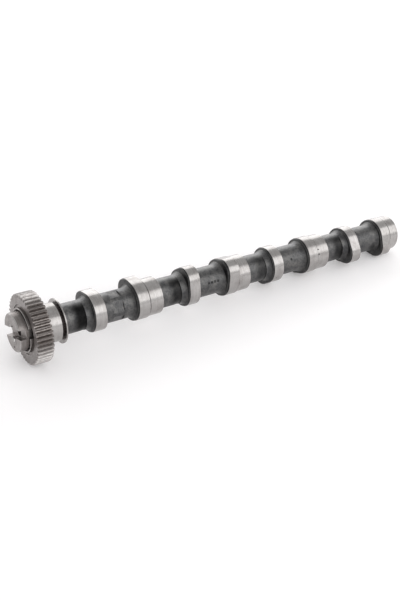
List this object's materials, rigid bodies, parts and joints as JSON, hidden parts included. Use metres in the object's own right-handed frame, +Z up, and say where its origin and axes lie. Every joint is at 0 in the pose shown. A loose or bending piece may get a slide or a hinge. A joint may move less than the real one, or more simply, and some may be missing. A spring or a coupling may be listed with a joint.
{
  "type": "camshaft",
  "caption": "Solid engine camshaft with ground cams and journals, a toothed drive gear and a slotted nose.",
  "frame": {"origin": "on the ground, under the middle of the lying shaft's bounding box", "axes": "+X along the lying shaft towards its rear journal, +Z up; the shaft dips 1.9 degrees towards +X, because it rests on the gear rim and the rear journal"},
  "size_m": [0.38, 0.0562, 0.0566],
  "materials": {
    "ground_cast_iron": "as-cast dark grey between the cams, ground bright on cams, journals, gear and nose"
  },
  "bodies": {
    "root": {"camshaft": "ground_cast_iron"}
  },
  "joints": []
}
